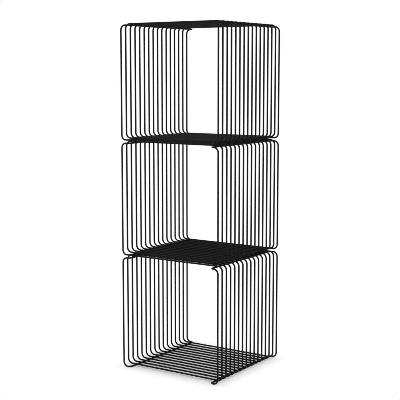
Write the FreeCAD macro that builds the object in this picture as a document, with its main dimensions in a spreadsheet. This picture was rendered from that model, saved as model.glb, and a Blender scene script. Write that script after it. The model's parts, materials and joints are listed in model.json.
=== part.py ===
import FreeCAD, Part
import os

import Sketcher

# Three equal cubes of bent round wire, standing one on the other, open at the front and the back.
# The origin is on the floor in the middle of the footprint: X to the right, Y to the back, Z up.

driving_sizes = (
    ("cube_width", 348.0),  # left to right over the uprights
    ("cube_depth", 348.0),  # front to back over the uprights
    ("cube_height", 348.0),  # from under the bottom bars to the top of the top runs
    ("wire_diameter", 4.7),  # drawn steel with its coat
    ("uprights_per_side", 16),  # the first and the last belong to the side frame, the rest to hoops
    ("hoop_bend_inside", 12.0),  # inside radius at the four corners of a hoop
    ("frame_bend_inside", 12.0),  # inside radius where an upright of the frame turns inwards
    ("hook_bend_inside", 7.0),  # inside radius where that hook turns into the bar
    ("hook_straight", 1.0),  # straight wire between the two bends of a hook
    ("stack_clearance", 0.3),  # between a cube's top runs and the bars of the cube above
)
cube_names = ("lower", "middle", "upper")

doc = FreeCAD.newDocument("wire_shelving_unit")
dims = doc.addObject("Spreadsheet::Sheet", "dims")
for row, (size_name, size) in enumerate(driving_sizes, start=1):
    dims.set("A%d" % row, size_name)
    dims.set("B%d" % row, str(size))
    dims.setAlias("B%d" % row, size_name)
doc.recompute()

# The round wire is drawn eight-sided with the round wire's area, so that forty-eight wires stay light
# and cross flat on flat. A bend turns in four equal corners, whose straights touch its centre line.
section_sides = 8
bend_corners = 4
flats = "(dims.wire_diameter * sqrt(pi / (%d * tan(180 deg / %d))))" % (section_sides, section_sides)
corner_reach = "(%s / 2 / cos(180 deg / %d))" % (flats, section_sides)

# Centre lines of the wires, half of each because every wire is drawn as a quarter and mirrored.
half_width = "((dims.cube_width - %s) / 2)" % flats
half_depth = "((dims.cube_depth - %s) / 2)" % flats
half_height = "(dims.cube_height / 2 - %s)" % flats
hoop_bend = "(dims.hoop_bend_inside + dims.wire_diameter / 2)"
frame_bend = "(dims.frame_bend_inside + dims.wire_diameter / 2)"
hook_bend = "(dims.hook_bend_inside + dims.wire_diameter / 2)"
hook_reach = "(%s + dims.hook_straight)" % frame_bend
bar_inset = "(%s + %s)" % (hook_reach, hook_bend)


def turned(center, along_x, along_y):
    """A point from the bend's centre by signed distances along the two sketch axes."""
    return ("%s + %s" % (center[0], along_x), "%s + %s" % (center[1], along_y))


def section(center):
    """Corners of the wire's section around its centre, with flats facing along both sketch axes."""
    corners = []
    for side in range(section_sides):
        angle = "(%r deg)" % ((side + 0.5) * 360.0 / section_sides)
        along_x = "%s * cos%s" % (corner_reach, angle)
        along_y = "%s * sin%s" % (corner_reach, angle)
        corners.append(turned(center, along_x, along_y))
    return corners


def bend(center, radius, start_way, end_way):
    """Corners of a quarter bend around its centre, from one sketch direction to the next."""
    corners = []
    half_corner = 45.0 / bend_corners
    for corner in range(bend_corners):
        angle = (2 * corner + 1) * half_corner
        share = "%s / cos(%r deg)" % (radius, half_corner)
        start_share = "%s * cos(%r deg)" % (share, angle)
        end_share = "%s * sin(%r deg)" % (share, angle)
        along_x = "(%d) * %s + (%d) * %s" % (start_way[0], start_share, end_way[0], end_share)
        along_y = "(%d) * %s + (%d) * %s" % (start_way[1], start_share, end_way[1], end_share)
        corners.append(turned(center, along_x, along_y))
    return corners


def plane(body, role):
    return [feature for feature in body.Origin.OriginFeatures if feature.Role == role][0]


def line_sketch(body, name, role, points, closed, offset="0"):
    """Straight lines through points, each placed from the origin by the driving sizes."""
    sketch = body.newObject("Sketcher::SketchObject", name)
    sketch.AttachmentSupport = [(plane(body, role), "")]
    sketch.MapMode = "FlatFace"
    sketch.setExpression("AttachmentOffset.Base.z", offset)
    places = [FreeCAD.Vector(dims.evalExpression(x), dims.evalExpression(y), 0) for x, y in points]
    ends = places[1:] + (places[:1] if closed else [])
    for start, end in zip(places, ends):
        sketch.addGeometry(Part.LineSegment(start, end))
    lines = len(ends)
    for line in range(lines if closed else lines - 1):
        sketch.addConstraint(Sketcher.Constraint("Coincident", line, 2, (line + 1) % lines, 1))
    for number, (x, y) in enumerate(points):
        line, end = (number, 1) if number < lines else (lines - 1, 2)
        for way, axis, expression in (("x", "DistanceX", x), ("y", "DistanceY", y)):
            value = dims.evalExpression(expression)
            index = sketch.addConstraint(Sketcher.Constraint(axis, -1, 1, line, end, value))
            constraint = "corner_%d_%s" % (number + 1, way)
            sketch.renameConstraint(index, constraint)
            sketch.setExpression("Constraints." + constraint, expression)
    return sketch


def pipe(body, name, profile, path):
    """The wire's section carried along a path, mitred at the path's corners."""
    doc.recompute()
    feature = body.newObject("PartDesign::AdditivePipe", name)
    feature.Profile = profile
    feature.Spine = (path, ["Edge%d" % (edge + 1) for edge in range(path.GeometryCount)])
    feature.Transition = "Right corner"
    doc.recompute()


def mirror(body, name, role):
    """The whole body so far with its mirror image in an origin plane."""
    feature = body.newObject("PartDesign::Mirrored", name)
    feature.TransformMode = "Whole shape"
    feature.MirrorPlane = (plane(body, role), [""])
    body.Tip = feature
    doc.recompute()


def hoop_pattern():
    """Closed rounded square of wire, upright in the XZ plane, centred on the origin."""
    body = doc.addObject("PartDesign::Body", "hoop_pattern")
    center = ("%s - %s" % (half_width, hoop_bend), "%s - %s" % (half_height, hoop_bend))
    points = [(half_width, "0")] + bend(center, hoop_bend, (1, 0), (0, 1)) + [("0", half_height)]
    path = line_sketch(body, "hoop_path", "XZ_Plane", points, False)
    profile = line_sketch(body, "hoop_section", "XY_Plane", section((half_width, "0")), True)
    pipe(body, "hoop_quarter", profile, path)
    mirror(body, "hoop_half", "YZ_Plane")
    mirror(body, "hoop_whole", "XY_Plane")
    return body


def frame_pattern():
    """Closed bent wire: two uprights in the plane x = 0, and two bars set inwards by hooked corners."""
    body = doc.addObject("PartDesign::Body", "frame_pattern")
    front = "-%s" % half_depth

    upright_center = (frame_bend, "%s - %s" % (half_height, frame_bend))
    upright_points = [("0", "0")] + bend(upright_center, frame_bend, (-1, 0), (0, 1))
    upright_points.append((hook_reach, half_height))
    upright = line_sketch(body, "upright_path", "XZ_Plane", upright_points, False, half_depth)
    upright_profile = line_sketch(body, "upright_section", "XY_Plane", section(("0", front)), True)
    pipe(body, "upright_quarter", upright_profile, upright)

    bar_center = (hook_reach, "%s + %s" % (front, hook_bend))
    bar_points = [(hook_reach, front)] + bend(bar_center, hook_bend, (0, -1), (1, 0))
    bar_points.append((bar_inset, "0"))
    bar_points.reverse()
    bar = line_sketch(body, "bar_path", "XY_Plane", bar_points, False, half_height)
    bar_profile = line_sketch(body, "bar_section", "XZ_Plane", section((bar_inset, half_height)), True)
    pipe(body, "bar_quarter", bar_profile, bar)

    mirror(body, "frame_half", "XZ_Plane")
    mirror(body, "frame_whole", "XY_Plane")
    return body


def wire(label, pattern, place, half_turn=False):
    """One wire of the unit: a copy of its pattern, put in its place by the driving sizes."""
    body = doc.addObject("PartDesign::Body", label)
    copy = doc.addObject("PartDesign::FeatureBase", label + "_copy")
    copy.BaseFeature = pattern
    body.Group = [copy]
    body.Tip = copy
    if half_turn:
        body.Placement.Rotation = FreeCAD.Rotation(FreeCAD.Vector(0, 0, 1), 180)
    for axis, expression in zip("xyz", place):
        body.setExpression("Placement.Base." + axis, expression)
    return body


hoop = hoop_pattern()
frame = frame_pattern()
uprights = int(dims.uprights_per_side)
wires = []
for level, cube in enumerate(cube_names):
    # Bars lie under the runs that they carry, at the bottom and at the top alike.
    bar_level = "%d * (dims.cube_height + dims.stack_clearance) + %s / 2" % (level, flats)
    frame_height = "%s + %s" % (bar_level, half_height)
    hoop_height = "%s + %s" % (frame_height, flats)
    for number in range(1, uprights - 1):
        depth = "%s * (2 * %d / (dims.uprights_per_side - 1) - 1)" % (half_depth, number)
        wires.append(wire("%s_hoop_%02d" % (cube, number), hoop, ("0", depth, hoop_height)))
    left_place = ("-%s" % half_width, "0", frame_height)
    right_place = (half_width, "0", frame_height)
    wires.append(wire("%s_left_frame" % cube, frame, left_place))
    wires.append(wire("%s_right_frame" % cube, frame, right_place, half_turn=True))
doc.recompute()

faulty = [item.Label for item in doc.Objects if "Invalid" in item.State or "Error" in item.State]
for body in wires:
    if body.Shape.isNull() or not body.Shape.isValid() or len(body.Shape.Solids) != 1:
        faulty.append(body.Label)
if faulty:
    raise RuntimeError("not built: " + ", ".join(faulty))

os.makedirs("parts", exist_ok=True)
for body in wires:
    body.Shape.exportStep("parts/%s.step" % body.Label)
steel = sum(body.Shape.Volume for body in wires)
print("%d wires, %.1f cm3 of steel" % (len(wires), steel / 1000))
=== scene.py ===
import json
import math

import bpy
import numpy as np
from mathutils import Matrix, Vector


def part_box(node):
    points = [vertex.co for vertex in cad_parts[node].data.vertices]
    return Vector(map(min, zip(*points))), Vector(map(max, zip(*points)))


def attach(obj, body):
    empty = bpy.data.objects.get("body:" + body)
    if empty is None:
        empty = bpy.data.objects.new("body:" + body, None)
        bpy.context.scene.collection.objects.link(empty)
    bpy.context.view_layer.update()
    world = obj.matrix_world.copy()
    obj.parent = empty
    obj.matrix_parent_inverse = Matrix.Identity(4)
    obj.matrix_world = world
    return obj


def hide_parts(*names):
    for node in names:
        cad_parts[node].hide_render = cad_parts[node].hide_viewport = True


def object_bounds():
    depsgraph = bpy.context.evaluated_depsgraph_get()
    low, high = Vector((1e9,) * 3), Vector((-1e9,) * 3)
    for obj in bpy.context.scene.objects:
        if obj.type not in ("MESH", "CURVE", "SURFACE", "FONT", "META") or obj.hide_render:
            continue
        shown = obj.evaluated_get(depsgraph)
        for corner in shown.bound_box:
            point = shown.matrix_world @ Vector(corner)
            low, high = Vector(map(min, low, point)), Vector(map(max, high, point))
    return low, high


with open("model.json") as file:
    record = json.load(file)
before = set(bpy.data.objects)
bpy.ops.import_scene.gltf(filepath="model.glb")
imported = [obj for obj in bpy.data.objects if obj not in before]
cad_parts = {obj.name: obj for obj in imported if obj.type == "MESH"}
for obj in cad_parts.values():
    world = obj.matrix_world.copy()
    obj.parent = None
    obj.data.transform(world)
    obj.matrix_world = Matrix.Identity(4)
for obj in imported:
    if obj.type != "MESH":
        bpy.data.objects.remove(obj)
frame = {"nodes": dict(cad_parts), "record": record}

# Wire shelving unit: three stacked cubes of bent round wire. Every CAD wire is replaced by a round tube
# that is as wide and as high as it is. Metres, floor at z = 0, +X to the right, +Y to the back.

cadLow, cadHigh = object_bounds()
cubeWires = frame["record"]["behaviour"]["bodies"]  # body -> its CAD wires
print("frame: %d cubes, %d wires" % (len(cubeWires), len(frame["nodes"])))

wire = {
    "cadSides": 8,  # of the CAD wire's section
    "sides": 20,
    "bendSteps": 12,  # steps in a quarter bend
    "runStep": 0.024,  # longest step along a straight run
    "oval": 0.025,  # share by which a bend flattens the section half way round
    "buttPlace": 0.29,  # where on its first run the wire's ends are welded together
    "buttSwell": 0.035,  # share by which the ground weld still stands up
    "buttReach": 0.0011,  # how far the swelling reaches along the wire
    "buttRings": (-3, -1.8, -1.2, -0.7, -0.3, 0, 0.3, 0.7, 1.2, 1.8, 3),  # in reaches from the weld
    "buttClear": 4,  # reaches from the weld in which the run has no other rings
    "noButt": 1.0,  # distance from the weld given to rings on the other runs and on bends
}


# The round wire goes through the corners of the CAD wire's section, whose flats give a hoop's thickness.
def roundRadius():
    low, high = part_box("lower_hoop_01")
    return (high.y - low.y) / 2 / math.cos(math.pi / wire["cadSides"])


wireRadius = roundRadius()
print("wire: %.2f mm" % (2000 * wireRadius))


# Rings of a straight run: even steps, and closer ones round the butt weld if it is there. Returns their
# distances along the run and from the weld.
def runRings(length, welded):
    steps = math.ceil(length / wire["runStep"])
    along = length * np.arange(1, steps) / steps
    if not welded:
        return along, np.full(len(along), wire["noButt"])
    butt = length * wire["buttPlace"]
    along = along[np.abs(along - butt) > wire["buttClear"] * wire["buttReach"]]
    along = np.sort(np.concatenate([along, butt + wire["buttReach"] * np.array(wire["buttRings"])]))
    return along, along - butt


# Closed line of quarter bends and straight runs. At a turn a into a bend of radius r, the point is
# corner - r * (1 - sin a) * way in + r * (1 - cos a) * way out. The side vector goes round untwisted:
# its share along the bend's axle stays, and the rest turns with the wire. Returns points, ways, sides,
# vectors to the bends' centres, the flattening and the distance from the butt weld, ring by ring.
def bentLine(corners, radii):
    wayOut = np.roll(corners, -1, axis=0) - corners
    wayOut /= np.linalg.norm(wayOut, axis=1, keepdims=True)
    wayIn = np.roll(wayOut, 1, axis=0)
    axle = np.cross(wayIn, wayOut)
    turn = np.linspace(0, math.pi / 2, wire["bendSteps"] + 1)
    sinTurn, cosTurn = np.sin(turn)[:, None], np.cos(turn)[:, None]
    flatten, noButt = np.sin(2 * turn), np.full(len(turn), wire["noButt"])
    side = axle[0]
    stretches = []
    for k, radius in enumerate(radii):
        bend = corners[k] - radius * (1 - sinTurn) * wayIn[k] + radius * (1 - cosTurn) * wayOut[k]
        inward = cosTurn * wayOut[k] - sinTurn * wayIn[k]
        way = cosTurn * wayIn[k] + sinTurn * wayOut[k]
        sides = axle[k] * (side @ axle[k]) + inward * (side @ wayOut[k])
        stretches.append((bend, way, sides, inward, flatten, noButt))
        side = sides[-1]

        onward = (k + 1) % len(radii)
        run = corners[onward] - radii[onward] * wayOut[k] - bend[-1]
        along, fromButt = runRings(np.linalg.norm(run), welded=k == 0)
        ones = np.ones((len(along), 1))
        stretches.append((bend[-1] + along[:, None] * wayOut[k], ones * wayOut[k], ones * side,
                          ones * inward[-1], 0 * along, fromButt))
    return [np.concatenate(part) for part in zip(*stretches)]


# Wire: at an angle t round the line, the point is line + r * (cos t * side + sin t * way x side). A bend
# takes a share off what points to its centre, and the butt weld swells r by a bell of its distance.
def wireGrid(corners, radii):
    line, way, side, inward, flatten, fromButt = bentLine(corners, radii)
    swell = 1 + wire["buttSwell"] * np.exp(-(fromButt / wire["buttReach"]) ** 2)
    t = np.linspace(0, 2 * math.pi, wire["sides"], endpoint=False)[None, :, None]
    ring = np.cos(t) * side[:, None] + np.sin(t) * np.cross(way, side)[:, None]
    offset = wireRadius * swell[:, None, None] * ring
    inward = inward[:, None]
    inwardShare = (offset * inward).sum(axis=2, keepdims=True)
    return line[:, None] + offset - wire["oval"] * flatten[:, None, None] * inwardShare * inward


# Quads of a grid that closes on itself along the wire and round it, facing outwards.
def closedQuads(rings, sides):
    ring, place = np.meshgrid(np.arange(rings), np.arange(sides), indexing="ij")
    nextRing, nextPlace = (ring + 1) % rings, (place + 1) % sides
    corners = (ring * sides + place, ring * sides + nextPlace,
               nextRing * sides + nextPlace, nextRing * sides + place)
    return np.stack(corners, axis=2).reshape(-1, 4)


hoop = {
    "cornerInside": 0.012,  # inside radius of the four corners
}


# A hoop's corners from the bottom left, anticlockwise from the front: its box less half a wire.
def hoopLine(low, high):
    left, right = low.x + wireRadius, high.x - wireRadius
    bottom, top = low.z + wireRadius, high.z - wireRadius
    depth = (low.y + high.y) / 2
    corners = [(left, depth, bottom), (right, depth, bottom), (right, depth, top), (left, depth, top)]
    return np.array(corners), np.full(4, hoop["cornerInside"]) + wireRadius


sideFrame = {
    "cornerInside": 0.012,  # inside radius where an upright turns inwards
    "hookInside": 0.007,  # inside radius where that hook turns into the bar
}


# A side frame's corners: forward along the top bar, down, back along the bottom bar and up. The uprights
# are on the box's outer side, the bars on its inner side.
def frameLine(low, high):
    upright, bar = low.x + wireRadius, high.x - wireRadius
    if low.x + high.x > 0:
        upright, bar = high.x - wireRadius, low.x + wireRadius
    front, back = low.y + wireRadius, high.y - wireRadius
    bottom, top = low.z + wireRadius, high.z - wireRadius
    corners = [
        (bar, back, top), (bar, front, top), (upright, front, top), (upright, front, bottom),
        (bar, front, bottom), (bar, back, bottom), (upright, back, bottom), (upright, back, top),
    ]
    hook, corner = sideFrame["hookInside"], sideFrame["cornerInside"]
    return np.array(corners), np.tile([hook, hook, corner, corner], 2) + wireRadius


# Adds a node, and feeds each socket from an output or sets its number.
def addNode(tree, kind, sockets, **settings):
    node = tree.nodes.new(kind)
    for key, value in settings.items():
        setattr(node, key, value)
    feedNode(tree, node, sockets)
    return node


def feedNode(tree, node, sockets):
    for key, value in sockets.items():
        if isinstance(value, bpy.types.NodeSocket):
            tree.links.new(value, node.inputs[key])
        else:
            node.inputs[key].default_value = value


def mathNode(tree, operation, *values):
    return addNode(tree, "ShaderNodeMath", dict(enumerate(values)), operation=operation).outputs[0]


# Distance from two distances square to each other: the root of the sum of their squares.
def distanceNode(tree, *ways):
    squares = [mathNode(tree, "MULTIPLY", way, way) for way in ways]
    return mathNode(tree, "SQRT", mathNode(tree, "ADD", *squares))


# A straight or smooth ramp from one pair of values to another, held at its ends.
def rampNode(tree, value, fromLow, fromHigh, toLow=0.0, toHigh=1.0, kind="LINEAR"):
    ends = {"From Min": fromLow, "From Max": fromHigh, "To Min": toLow, "To Max": toHigh}
    return addNode(tree, "ShaderNodeMapRange", {"Value": value, **ends}, interpolation_type=kind).outputs[0]


def noiseNode(tree, place, scale, detail):
    sockets = {"Vector": place, "Scale": scale, "Detail": detail}
    return addNode(tree, "ShaderNodeTexNoise", sockets).outputs["Fac"]


def mixColour(tree, share, first, second):
    node = addNode(tree, "ShaderNodeMix", {}, data_type="RGBA")
    places = [place for place, socket in enumerate(node.inputs) if socket.enabled]
    feedNode(tree, node, dict(zip(places, (share, first, second))))
    return [socket for socket in node.outputs if socket.enabled][0]


def objectPlace(tree):
    place = addNode(tree, "ShaderNodeTexCoord", {}).outputs["Object"]
    return place, addNode(tree, "ShaderNodeSeparateXYZ", {"Vector": place}).outputs


coat = {
    "black": (0.0055, 0.0055, 0.0057, 1.0),
    "speck": (0.0120, 0.0120, 0.0125, 1.0),  # on the powder's grains
    # painted light from above, together with dust: a shade lighter on faces that look up
    "dusty": (0.0095, 0.0094, 0.0091, 1.0),  # on faces that look up
    "rubbed": (0.0160, 0.0160, 0.0165, 1.0),  # where the cubes stand on each other and on the floor
    "specular": 0.05,
    "rough": (0.46, 0.60),  # least and most
    "rubbedRough": 0.30,

    # noises, as scale and detail, and between which of their values an effect sets in and is whole
    # the slow noise also breaks up the painted light from above, patchy like dust
    "cloud": (30.0, 3.0),  # slow changes of gloss and dust
    "cloudRough": (0.25, 0.75),
    # where the slow noise lets the painted top light and dust set in and be whole
    "cloudDust": (0.35, 0.7),
    "cloudRub": (0.3, 0.6),
    "peel": (650.0, 2.0),  # orange peel, about 1.5 mm across
    "peelHills": (0.3, 0.7),
    "peelRough": 0.12,  # how much rougher its hills are than its dips
    "peelHeight": 0.00003,
    "grain": (2600.0, 1.0),  # powder grain, about 0.4 mm across
    "grainSpeck": (0.45, 0.7),
    "grainHeight": 0.000008,

    # upward share of the normal where the painted light from above, with dust, sets in and is whole
    "dustSlope": (0.35, 1.0),  # upward share of the normal where dust sets in and is whole
    "rubReach": 0.004,  # round each crossing
    "rubDepth": 0.0007,  # above and below the line of contact
}


# Lines of contact, read from the frame: the bars' distance from the middle, the pitch of the runs and
# the heights at which one cube stands on another.
def contactLines():
    runLow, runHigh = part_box("lower_hoop_01")
    return {
        "bar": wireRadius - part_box("lower_left_frame")[1].x,
        "firstRun": (runLow.y + runHigh.y) / 2,
        "runPitch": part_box("lower_hoop_02")[0].y - runLow.y,
        "stacks": [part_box(node)[0].z for node in ("middle_left_frame", "upper_left_frame")],
    }


# Matt black powder coat. Two noises lift it as orange peel and as grain, which is also a shade lighter.
# A slow one changes its gloss, and on what looks up it paints light from above as a patchy lighter shade,
# like dust.
# It is rubbed smooth where the distance in plan from a crossing of bar and run is short and the height
# is a stack's, and where it meets the floor.
def powderCoat():
    material = bpy.data.materials.new("blackPowderCoat")
    material.use_nodes = True
    tree = material.node_tree
    lines = contactLines()
    place, xyz = objectPlace(tree)
    cloud, peel, grain = (noiseNode(tree, place, *coat[noise]) for noise in ("cloud", "peel", "grain"))

    toBar = mathNode(tree, "SUBTRACT", mathNode(tree, "ABSOLUTE", xyz["X"]), lines["bar"])
    fromRun = mathNode(tree, "SUBTRACT", xyz["Y"], lines["firstRun"])
    toRun = mathNode(tree, "WRAP", fromRun, lines["runPitch"] / 2, -lines["runPitch"] / 2)
    toCrossing = distanceNode(tree, toBar, toRun)
    above = [mathNode(tree, "SUBTRACT", xyz["Z"], height) for height in lines["stacks"]]
    toStack = mathNode(tree, "MINIMUM", *(mathNode(tree, "ABSOLUTE", height) for height in above))
    atCrossing = rampNode(tree, toCrossing, coat["rubReach"], 0.0, kind="SMOOTHSTEP")
    atHeight = rampNode(tree, toStack, coat["rubDepth"], 0.0)
    onStack = mathNode(tree, "MULTIPLY", atCrossing, atHeight)
    onFloor = rampNode(tree, xyz["Z"], coat["rubDepth"], 0.0)
    touched = mathNode(tree, "MAXIMUM", onStack, onFloor)
    rubbed = mathNode(tree, "MULTIPLY", touched, rampNode(tree, cloud, *coat["cloudRub"]))

    normal = addNode(tree, "ShaderNodeNewGeometry", {}).outputs["Normal"]
    upward = addNode(tree, "ShaderNodeSeparateXYZ", {"Vector": normal}).outputs["Z"]
    # painted light from above, with dust: faces that look up get a lighter shade, patchy by the slow noise
    facesUp = rampNode(tree, upward, *coat["dustSlope"])
    topLitDust = mathNode(tree, "MULTIPLY", facesUp, rampNode(tree, cloud, *coat["cloudDust"]))
    colour = mixColour(tree, rampNode(tree, grain, *coat["grainSpeck"]), coat["black"], coat["speck"])
    # mixes in the painted top light and dust
    colour = mixColour(tree, topLitDust, colour, coat["dusty"])
    colour = mixColour(tree, rubbed, colour, coat["rubbed"])

    rough = rampNode(tree, cloud, *coat["cloudRough"], *coat["rough"])
    hills = rampNode(tree, peel, *coat["peelHills"], -coat["peelRough"] / 2, coat["peelRough"] / 2)
    smoother = mathNode(tree, "MULTIPLY", rubbed, coat["rubbedRough"] - coat["rough"][1])
    rough = mathNode(tree, "ADD", mathNode(tree, "ADD", rough, hills), smoother)
    peelLift = mathNode(tree, "MULTIPLY", peel, coat["peelHeight"])
    grainLift = mathNode(tree, "MULTIPLY", grain, coat["grainHeight"])
    lift = {"Height": mathNode(tree, "ADD", peelLift, grainLift), "Distance": 1.0}  # heights in metres

    feedNode(tree, tree.nodes["Principled BSDF"], {
        "Base Color": colour,
        "Roughness": rough,
        "Specular IOR Level": coat["specular"],
        "Normal": addNode(tree, "ShaderNodeBump", lift).outputs["Normal"],
    })
    return material


blackCoat = powderCoat()
print("material: " + blackCoat.name)


def addPiece(name, points, faces, material):
    mesh = bpy.data.meshes.new(name)
    mesh.from_pydata(points.reshape(-1, 3).tolist(), [], faces)
    mesh.shade_smooth()
    mesh.materials.append(material)
    piece = bpy.data.objects.new(name, mesh)
    bpy.context.scene.collection.objects.link(piece)
    return piece


# lower_hoop_01 -> lowerHoop01
def pieceName(node):
    first, *rest = node.split("_")
    return first + "".join(word.capitalize() for word in rest)


def isHoop(node):
    return "_hoop_" in node


for body, nodes in cubeWires.items():
    for node in nodes:
        line = hoopLine if isHoop(node) else frameLine
        grid = wireGrid(*line(*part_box(node)))
        piece = addPiece(pieceName(node), grid, closedQuads(*grid.shape[:2]).tolist(), blackCoat)
        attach(piece, body)
        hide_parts(node)
    print("%s: %d wires" % (body, len(nodes)))

weld = {
    "reach": 0.0019,  # radius of the bead in plan
    "sides": 10,
    "rings": (  # from the run down to the bar: share of the reach, of the way down, depth into the wire
        (0.70, 0.0, 0.00030),
        (1.10, 0.0, 0.00006),
        (0.88, 0.5, 0.0),
        (1.10, 1.0, 0.00006),
        (0.70, 1.0, 0.00030),
    ),
    "pole": 0.0014,  # depth of its two poles in the wires
}


# Weld beads at the crossings (x, y, z of the run's centre) of a run with the bar under it. In plan a bead
# is a circle; at a place (a, b) in it, the run's underside is r' below the run's centre with
# r'^2 = r^2 - b^2, and the bar's upper side is r'' above the bar's with r''^2 = r^2 - a^2. The waist
# is half way between the two.
def weldBeads(name, crossings, drop):
    share, down, sink = (np.array(column)[:, None] for column in zip(*weld["rings"]))
    t = np.linspace(0, 2 * math.pi, weld["sides"], endpoint=False)[None, :]
    a, b = weld["reach"] * share * np.cos(t), weld["reach"] * share * np.sin(t)
    runUnder = sink - np.sqrt(wireRadius ** 2 - b ** 2)
    barUpper = np.sqrt(wireRadius ** 2 - a ** 2) - drop - sink
    rings = np.stack([a, b, (1 - down) * runUnder + down * barUpper], axis=2).reshape(-1, 3)
    poles = np.array([(0, 0, weld["pole"] - wireRadius), (0, 0, wireRadius - drop - weld["pole"])])
    bead = np.concatenate([rings, poles])
    points = crossings[:, None] + bead[None]

    sides, levels = weld["sides"], len(weld["rings"])
    level, place = np.meshgrid(np.arange(levels - 1), np.arange(sides), indexing="ij")
    nextPlace = (place + 1) % sides
    quads = np.stack([level * sides + place, (level + 1) * sides + place,
                      (level + 1) * sides + nextPlace, level * sides + nextPlace], axis=2).reshape(-1, 4)
    place, nextPlace = place[0], nextPlace[0]
    topPole, lowPole = np.full(sides, len(rings)), np.full(sides, len(rings) + 1)
    last = (levels - 1) * sides
    caps = np.concatenate([np.stack([topPole, place, nextPlace], axis=1),
                           np.stack([lowPole, last + nextPlace, last + place], axis=1)])
    start = (np.arange(len(crossings)) * len(bead))[:, None, None]
    faces = (start + quads).reshape(-1, 4).tolist() + (start + caps).reshape(-1, 3).tolist()
    return addPiece(name, points, faces, blackCoat)


for body, nodes in cubeWires.items():
    # Corners of the wires' lines: a hoop's first is low and its third high, a frame's first is on a top bar.
    runs = np.array([hoopLine(*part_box(node))[0] for node in nodes if isHoop(node)])
    bars = np.array([frameLine(*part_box(node))[0] for node in nodes if not isHoop(node)])
    runDepth, runHeight = runs[:, 0, 1], runs[0, [0, 2], 2]
    barPlace = bars[:, 0, 0]
    drop = runHeight[1] - bars[0, 0, 2]  # from a top run to the top bar
    crossings = np.stack(np.meshgrid(barPlace, runDepth, runHeight, indexing="ij"), axis=3).reshape(-1, 3)
    beads = weldBeads(body.replace("_cube", "Welds"), crossings, drop)
    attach(beads, body)
    print("%s: %d welds" % (body, len(crossings)))

studio = {
    "floorReach": 12.0,
    "floorPale": (0.8, 0.8, 0.8, 1.0),
    "shadeHalf": 0.150,  # half side of the square that keeps the whole shadow
    "shadeFade": 0.065,  # how far outside it the floor goes over to white
    "worldLight": 1.0,
    "lamps": (  # name, place, diameter, watts
        ("keyLamp", (-1.7, -2.3, 2.7), 1.8, 16.0),
        ("fillLamp", (2.6, -1.2, 1.9), 1.8, 9.0),
        ("topLamp", (0.3, 0.4, 3.4), 1.8, 9.0),
    ),
}


# 1 for the camera's own rays and for mirrored or clear ones, which show the white background too.
def seenWhite(tree):
    path = addNode(tree, "ShaderNodeLightPath", {}).outputs
    cameraOrGlossy = mathNode(tree, "MAXIMUM", path["Is Camera Ray"], path["Is Glossy Ray"])
    return mathNode(tree, "MAXIMUM", cameraOrGlossy, path["Is Transmission Ray"])


# A matt pale floor that shows the shadow under and round the cubes. Further out, by the distance from a
# square, what the camera sees goes over to plain white, and the light thrown back stays as it is.
def paleFloor():
    material = bpy.data.materials.new("paleFloor")
    material.use_nodes = True
    tree = material.node_tree
    tree.nodes.remove(tree.nodes["Principled BSDF"])
    xyz = objectPlace(tree)[1]
    fromMiddle = [mathNode(tree, "ABSOLUTE", xyz[way]) for way in "XY"]
    beyond = [mathNode(tree, "SUBTRACT", way, studio["shadeHalf"]) for way in fromMiddle]
    fromSquare = distanceNode(tree, *(mathNode(tree, "MAXIMUM", way, 0.0) for way in beyond))
    openFloor = rampNode(tree, fromSquare, 0.0, studio["shadeFade"], kind="SMOOTHSTEP")
    matt = addNode(tree, "ShaderNodeBsdfDiffuse", {"Color": studio["floorPale"]}).outputs[0]
    white = addNode(tree, "ShaderNodeEmission", {}).outputs[0]
    share = mathNode(tree, "MULTIPLY", seenWhite(tree), openFloor)
    mixed = addNode(tree, "ShaderNodeMixShader", {0: share, 1: matt, 2: white})
    feedNode(tree, tree.nodes["Material Output"], {"Surface": mixed.outputs[0]})
    return material


def studioFloor():
    edge = studio["floorReach"] * np.array([-1, 1])
    points = np.stack(np.meshgrid(edge, edge, [0.0], indexing="ij"), axis=3)
    plane = addPiece("studioFloor", points, [(0, 2, 3, 1)], paleFloor())


# White as a background, whatever light the world gives.
def whiteWorld():
    world = bpy.data.worlds.new("whiteWorld")
    world.use_nodes = True
    tree = world.node_tree
    strength = rampNode(tree, seenWhite(tree), 0.0, 1.0, studio["worldLight"], 1.0)
    feedNode(tree, tree.nodes["Background"], {"Color": (1.0, 1.0, 1.0, 1.0), "Strength": strength})
    bpy.context.scene.world = world


def softLamps():
    middle = (cadLow + cadHigh) / 2
    for name, place, size, watts in studio["lamps"]:
        light = bpy.data.lights.new(name, "AREA")
        light.shape, light.size, light.energy = "DISK", size, watts
        lamp = bpy.data.objects.new(name, light)
        bpy.context.scene.collection.objects.link(lamp)
        lamp.location = place
        lamp.rotation_euler = (middle - lamp.location).to_track_quat("-Z", "Y").to_euler()


studioFloor()
whiteWorld()
softLamps()
print("studio: floor, world and %d lamps" % len(studio["lamps"]))

photoView = {
    "place": (1.67896, -2.51587, 0.89231),
    "tilt": -7.18148,  # degrees from level, down is negative
    "turn": 33.79229,  # degrees, left from straight back
    "lens": 89.424,  # mm
    "sensor": 36.0,  # mm
    "pixelFilter": 0.75,  # pixels: crisp wires
}


def photoCamera():
    optics = bpy.data.cameras.new("photoCamera")
    optics.lens, optics.sensor_width = photoView["lens"], photoView["sensor"]
    camera = bpy.data.objects.new("photoCamera", optics)
    bpy.context.scene.collection.objects.link(camera)
    camera.location = photoView["place"]
    camera.rotation_euler = (math.radians(90 + photoView["tilt"]), 0, math.radians(photoView["turn"]))
    bpy.context.scene.camera = camera
    bpy.context.scene.cycles.filter_width = photoView["pixelFilter"]
    bpy.context.scene.view_settings.view_transform = "Standard"


photoCamera()
print("camera: %.1f mm" % photoView["lens"])
